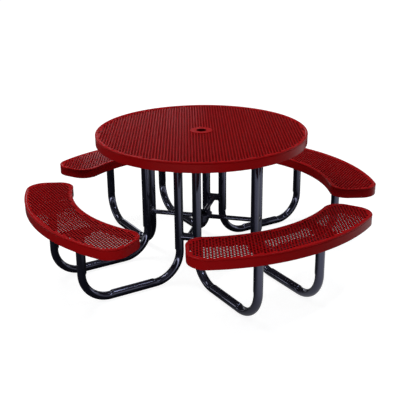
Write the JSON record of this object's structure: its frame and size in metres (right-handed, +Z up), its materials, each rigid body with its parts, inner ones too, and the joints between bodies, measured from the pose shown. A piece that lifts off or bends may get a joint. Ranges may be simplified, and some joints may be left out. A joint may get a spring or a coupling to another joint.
{
  "type": "round picnic table",
  "caption": "Round outdoor picnic table with attached curved bench seats on U-shaped tube legs, coated perforated sheet top and an umbrella hole through top and brace hub.",
  "frame": {"origin": "on the ground under the middle of the table", "axes": "+Z up along the umbrella hole; +X and +Y each point at the middle of a seat"},
  "size_m": [1.9662, 1.9662, 0.7679],
  "materials": {
    "red_coating": "smooth thick red plastic coating, semi-gloss",
    "black_tube": "glossy black powder coat",
    "fastener": "zinc-plated steel"
  },
  "bodies": {
    "root": {"bolts": "fastener", "brace_tube_1": "black_tube", "brace_tube_2": "black_tube", "brace_tube_3": "black_tube", "brace_tube_4": "black_tube", "cross_tube_1": "black_tube", "cross_tube_2": "black_tube", "cross_tube_3": "black_tube", "cross_tube_4": "black_tube", "hub_plate": "black_tube", "hub_sleeve": "black_tube", "leg_plate_1": "black_tube", "leg_plate_2": "black_tube", "leg_plate_3": "black_tube", "leg_plate_4": "black_tube", "leg_tube_a_1": "black_tube", "leg_tube_a_2": "black_tube", "leg_tube_a_3": "black_tube", "leg_tube_a_4": "black_tube", "leg_tube_b_1": "black_tube", "leg_tube_b_2": "black_tube", "leg_tube_b_3": "black_tube", "leg_tube_b_4": "black_tube", "nuts": "fastener", "seat_panel_1": "red_coating", "seat_panel_2": "red_coating", "seat_panel_3": "red_coating", "seat_panel_4": "red_coating", "seat_plate_a_1": "black_tube", "seat_plate_a_2": "black_tube", "seat_plate_a_3": "black_tube", "seat_plate_a_4": "black_tube", "seat_plate_b_1": "black_tube", "seat_plate_b_2": "black_tube", "seat_plate_b_3": "black_tube", "seat_plate_b_4": "black_tube", "seat_rib_a_1": "red_coating", "seat_rib_a_2": "red_coating", "seat_rib_a_3": "red_coating", "seat_rib_a_4": "red_coating", "seat_rib_b_1": "red_coating", "seat_rib_b_2": "red_coating", "seat_rib_b_3": "red_coating", "seat_rib_b_4": "red_coating", "seat_rim_1": "red_coating", "seat_rim_2": "red_coating", "seat_rim_3": "red_coating", "seat_rim_4": "red_coating", "top_collar": "red_coating", "top_panel": "red_coating", "top_rib_1": "red_coating", "top_rib_2": "red_coating", "top_rib_3": "red_coating", "top_rib_4": "red_coating", "top_rim": "red_coating", "top_socket": "red_coating", "washers": "fastener"}
  },
  "joints": []
}
